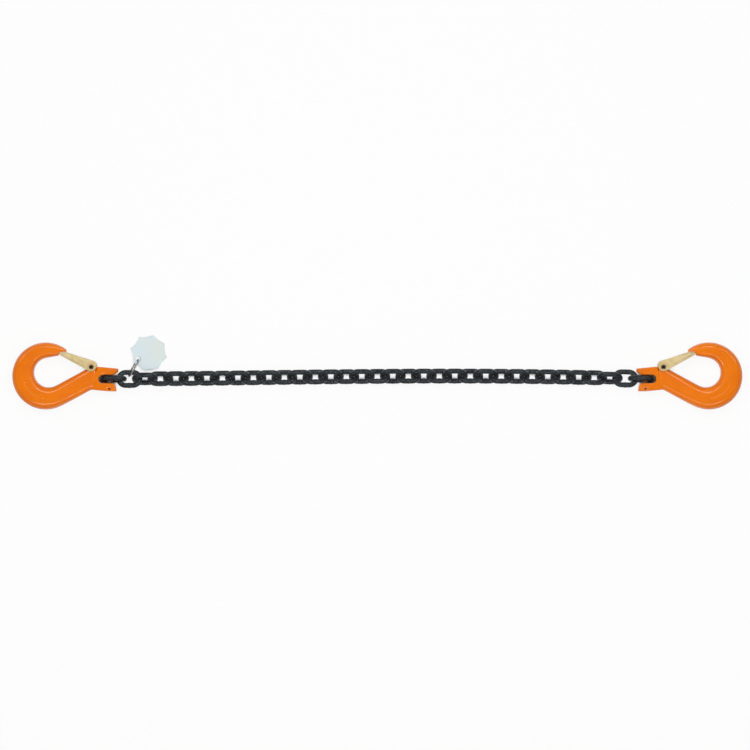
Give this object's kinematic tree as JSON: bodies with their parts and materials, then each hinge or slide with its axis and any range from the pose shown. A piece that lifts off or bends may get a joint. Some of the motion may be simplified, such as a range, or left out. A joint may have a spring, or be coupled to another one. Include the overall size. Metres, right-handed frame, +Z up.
{
  "type": "chain sling",
  "caption": "Lifting chain sling: a run of black round-steel links with an orange clevis hook and sprung latch at each end, and a plate tag hung by a wire ring near one hook.",
  "frame": {"origin": "on the floor under the middle of the box that holds the whole sling as it lies", "axes": "+X along the chain from the hook beside the tag to the other hook, +Y towards the tag and the hook latches, +Z up from the floor"},
  "size_m": [0.9752, 0.1, 0.0262],
  "materials": {
    "hook": "glossy orange coating on forged steel",
    "chain": "blackened steel, satin",
    "latch": "yellow zinc plated sheet",
    "pin": "dark hardened steel",
    "spring": "drawn spring wire",
    "ring": "drawn steel wire",
    "tag": "bright satin"
  },
  "bodies": {
    "left_hook": {"left_hook": "hook", "left_load_pin": "pin", "left_retaining_pin": "pin", "left_latch_pin": "pin", "left_latch_spring": "spring"},
    "right_hook": {"right_hook": "hook", "right_load_pin": "pin", "right_retaining_pin": "pin", "right_latch_pin": "pin", "right_latch_spring": "spring"},
    "left_latch": {"left_latch": "latch"},
    "right_latch": {"right_latch": "latch"},
    "tag": {"tag": "tag"},
    "tag_ring": {"tag_ring": "ring"},
    "link_01": {"link_01": "chain"},
    "link_02": {"link_02": "chain"},
    "link_03": {"link_03": "chain"},
    "link_04": {"link_04": "chain"},
    "link_05": {"link_05": "chain"},
    "link_06": {"link_06": "chain"},
    "link_07": {"link_07": "chain"},
    "link_08": {"link_08": "chain"},
    "link_09": {"link_09": "chain"},
    "link_10": {"link_10": "chain"},
    "link_11": {"link_11": "chain"},
    "link_12": {"link_12": "chain"},
    "link_13": {"link_13": "chain"},
    "link_14": {"link_14": "chain"},
    "link_15": {"link_15": "chain"},
    "link_16": {"link_16": "chain"},
    "link_17": {"link_17": "chain"},
    "link_18": {"link_18": "chain"},
    "link_19": {"link_19": "chain"},
    "link_20": {"link_20": "chain"},
    "link_21": {"link_21": "chain"},
    "link_22": {"link_22": "chain"},
    "link_23": {"link_23": "chain"},
    "link_24": {"link_24": "chain"},
    "link_25": {"link_25": "chain"},
    "link_26": {"link_26": "chain"},
    "link_27": {"link_27": "chain"},
    "link_28": {"link_28": "chain"},
    "link_29": {"link_29": "chain"},
    "link_30": {"link_30": "chain"},
    "link_31": {"link_31": "chain"},
    "link_32": {"link_32": "chain"},
    "link_33": {"link_33": "chain"},
    "link_34": {"link_34": "chain"},
    "link_35": {"link_35": "chain"}
  },
  "joints": [
    {"name": "left_latch_swing", "type": "hinge", "parent": "left_hook", "child": "left_latch", "pos_m": [-0.38152, 0.00683, 0.0131], "axis": [0, 0, 1], "range_deg": [0, 40], "stiffness_Nm_per_rad": 0.15, "springref_deg": -34.38, "deforming": ["left_latch_spring"]},
    {"name": "right_latch_swing", "type": "hinge", "parent": "right_hook", "child": "right_latch", "pos_m": [0.38152, 0.00693, 0.0131], "axis": [0, 0, -1], "range_deg": [0, 40], "stiffness_Nm_per_rad": 0.15, "springref_deg": -34.38, "deforming": ["right_latch_spring"]},
    {"name": "tag_ring_swing", "type": "hinge", "parent": "link_02", "child": "tag_ring", "pos_m": [-0.33129, -0.00032, 0.00919], "axis": [-0.9994, -0.0054, 0.0351], "range_deg": [-60, 22]},
    {"name": "tag_swing", "type": "hinge", "parent": "tag_ring", "child": "tag", "pos_m": [-0.3202, 0.01642, 0.00543], "axis": [0.8182, -0.4982, -0.287], "range_deg": [-22, 8]},
    {"name": "left_hook_on_link_01", "type": "hinge", "parent": "link_01", "child": "left_hook", "pos_m": [-0.35752, -0.0091, 0.0131], "axis": [0, 1, 0], "range_deg": [-90, 90]},
    {"name": "right_hook_on_link_35", "type": "hinge", "parent": "link_35", "child": "right_hook", "pos_m": [0.35752, -0.009, 0.0131], "axis": [0, 1, 0], "range_deg": [-90, 90]},
    {"name": "link_01_on_link_02", "type": "hinge", "parent": "link_02", "child": "link_01", "pos_m": [-0.34512, -0.00907, 0.01302], "axis": [0.0176, -0.9335, 0.3581], "range_deg": [-40, 40]},
    {"name": "link_02_on_link_03", "type": "hinge", "parent": "link_03", "child": "link_02", "pos_m": [-0.32443, -0.00897, 0.01236], "axis": [-0.041, -0.5449, -0.8375], "range_deg": [-90, 2]},
    {"name": "link_03_on_link_04", "type": "hinge", "parent": "link_04", "child": "link_03", "pos_m": [-0.30376, -0.00883, 0.01118], "axis": [-0.029, 0.7069, -0.7067], "range_deg": [-90, 90]},
    {"name": "link_04_on_link_05", "type": "hinge", "parent": "link_05", "child": "link_04", "pos_m": [-0.28307, -0.00867, 0.01038], "axis": [-0.0065, 0.7071, 0.7071], "range_deg": [-90, 90]},
    {"name": "link_05_on_link_06", "type": "hinge", "parent": "link_06", "child": "link_05", "pos_m": [-0.26237, -0.00848, 0.01038], "axis": [0.0071, -0.7071, 0.7071], "range_deg": [-90, 90]},
    {"name": "link_06_on_link_07", "type": "hinge", "parent": "link_07", "child": "link_06", "pos_m": [-0.24167, -0.00827, 0.01038], "axis": [0.0077, -0.7071, -0.7071], "range_deg": [-90, 90]},
    {"name": "link_07_on_link_08", "type": "hinge", "parent": "link_08", "child": "link_07", "pos_m": [-0.22098, -0.00805, 0.01038], "axis": [-0.0081, 0.7071, -0.7071], "range_deg": [-90, 90]},
    {"name": "link_08_on_link_09", "type": "hinge", "parent": "link_09", "child": "link_08", "pos_m": [-0.20028, -0.00781, 0.01038], "axis": [-0.0084, 0.7071, 0.7071], "range_deg": [-90, 90]},
    {"name": "link_09_on_link_10", "type": "hinge", "parent": "link_10", "child": "link_09", "pos_m": [-0.17958, -0.00757, 0.01038], "axis": [0.0086, -0.7071, 0.7071], "range_deg": [-90, 90]},
    {"name": "link_10_on_link_11", "type": "hinge", "parent": "link_11", "child": "link_10", "pos_m": [-0.15888, -0.00731, 0.01038], "axis": [0.0088, -0.7071, -0.7071], "range_deg": [-90, 90]},
    {"name": "link_11_on_link_12", "type": "hinge", "parent": "link_12", "child": "link_11", "pos_m": [-0.13818, -0.00706, 0.01038], "axis": [-0.0087, 0.7071, -0.7071], "range_deg": [-90, 90]},
    {"name": "link_12_on_link_13", "type": "hinge", "parent": "link_13", "child": "link_12", "pos_m": [-0.11748, -0.0068, 0.01038], "axis": [-0.0086, 0.7071, 0.7071], "range_deg": [-90, 90]},
    {"name": "link_13_on_link_14", "type": "hinge", "parent": "link_14", "child": "link_13", "pos_m": [-0.09678, -0.00655, 0.01038], "axis": [0.0083, -0.7071, 0.7071], "range_deg": [-90, 90]},
    {"name": "link_14_on_link_15", "type": "hinge", "parent": "link_15", "child": "link_14", "pos_m": [-0.07609, -0.0063, 0.01038], "axis": [0.0079, -0.7071, -0.7071], "range_deg": [-90, 90]},
    {"name": "link_15_on_link_16", "type": "hinge", "parent": "link_16", "child": "link_15", "pos_m": [-0.05539, -0.00607, 0.01038], "axis": [-0.0074, 0.7071, -0.7071], "range_deg": [-90, 90]},
    {"name": "link_16_on_link_17", "type": "hinge", "parent": "link_17", "child": "link_16", "pos_m": [-0.03469, -0.00585, 0.01038], "axis": [-0.0066, 0.7071, 0.7071], "range_deg": [-90, 90]},
    {"name": "link_17_on_link_18", "type": "hinge", "parent": "link_18", "child": "link_17", "pos_m": [-0.01399, -0.00565, 0.01038], "axis": [0.0058, -0.7071, 0.7071], "range_deg": [-90, 90]},
    {"name": "link_19_on_link_18", "type": "hinge", "parent": "link_18", "child": "link_19", "pos_m": [0.01401, -0.00542, 0.01038], "axis": [-0.0058, 0.7071, -0.7071], "range_deg": [-90, 90]},
    {"name": "link_20_on_link_19", "type": "hinge", "parent": "link_19", "child": "link_20", "pos_m": [0.03471, -0.00529, 0.01038], "axis": [-0.0047, 0.7071, 0.7071], "range_deg": [-90, 90]},
    {"name": "link_21_on_link_20", "type": "hinge", "parent": "link_20", "child": "link_21", "pos_m": [0.05541, -0.00519, 0.01038], "axis": [0.0036, -0.7071, 0.7071], "range_deg": [-90, 90]},
    {"name": "link_22_on_link_21", "type": "hinge", "parent": "link_21", "child": "link_22", "pos_m": [0.07611, -0.00513, 0.01038], "axis": [0.0023, -0.7071, -0.7071], "range_deg": [-90, 90]},
    {"name": "link_23_on_link_22", "type": "hinge", "parent": "link_22", "child": "link_23", "pos_m": [0.09681, -0.00511, 0.01038], "axis": [-0.0008, 0.7071, -0.7071], "range_deg": [-90, 90]},
    {"name": "link_24_on_link_23", "type": "hinge", "parent": "link_23", "child": "link_24", "pos_m": [0.11751, -0.00514, 0.01038], "axis": [0.0007, 0.7071, 0.7071], "range_deg": [-90, 90]},
    {"name": "link_25_on_link_24", "type": "hinge", "parent": "link_24", "child": "link_25", "pos_m": [0.13821, -0.00522, 0.01038], "axis": [-0.0024, -0.7071, 0.7071], "range_deg": [-90, 90]},
    {"name": "link_26_on_link_25", "type": "hinge", "parent": "link_25", "child": "link_26", "pos_m": [0.15891, -0.00535, 0.01038], "axis": [-0.0041, -0.7071, -0.7071], "range_deg": [-90, 90]},
    {"name": "link_27_on_link_26", "type": "hinge", "parent": "link_26", "child": "link_27", "pos_m": [0.17961, -0.00553, 0.01038], "axis": [0.0059, 0.7071, -0.7071], "range_deg": [-90, 90]},
    {"name": "link_28_on_link_27", "type": "hinge", "parent": "link_27", "child": "link_28", "pos_m": [0.20031, -0.00576, 0.01038], "axis": [0.0077, 0.7071, 0.7071], "range_deg": [-90, 90]},
    {"name": "link_29_on_link_28", "type": "hinge", "parent": "link_28", "child": "link_29", "pos_m": [0.221, -0.00605, 0.01038], "axis": [-0.0094, -0.707, 0.7071], "range_deg": [-90, 90]},
    {"name": "link_30_on_link_29", "type": "hinge", "parent": "link_29", "child": "link_30", "pos_m": [0.2417, -0.00638, 0.01038], "axis": [-0.0112, -0.707, -0.7071], "range_deg": [-90, 90]},
    {"name": "link_31_on_link_30", "type": "hinge", "parent": "link_30", "child": "link_31", "pos_m": [0.2624, -0.00677, 0.01038], "axis": [0.0128, 0.707, -0.7071], "range_deg": [-90, 90]},
    {"name": "link_32_on_link_31", "type": "hinge", "parent": "link_31", "child": "link_32", "pos_m": [0.28309, -0.00719, 0.01038], "axis": [0.0143, 0.707, 0.7071], "range_deg": [-90, 90]},
    {"name": "link_33_on_link_32", "type": "hinge", "parent": "link_32", "child": "link_33", "pos_m": [0.30377, -0.00766, 0.01118], "axis": [-0.0389, -0.7064, 0.7067], "range_deg": [-90, 90]},
    {"name": "link_34_on_link_33", "type": "hinge", "parent": "link_33", "child": "link_34", "pos_m": [0.32444, -0.00815, 0.01236], "axis": [0.0318, -0.5455, -0.8375], "range_deg": [-90, 90]},
    {"name": "link_35_on_link_34", "type": "hinge", "parent": "link_34", "child": "link_35", "pos_m": [0.34512, -0.00867, 0.01302], "axis": [0.0359, 0.933, -0.3581], "range_deg": [-40, 40]}
  ]
}
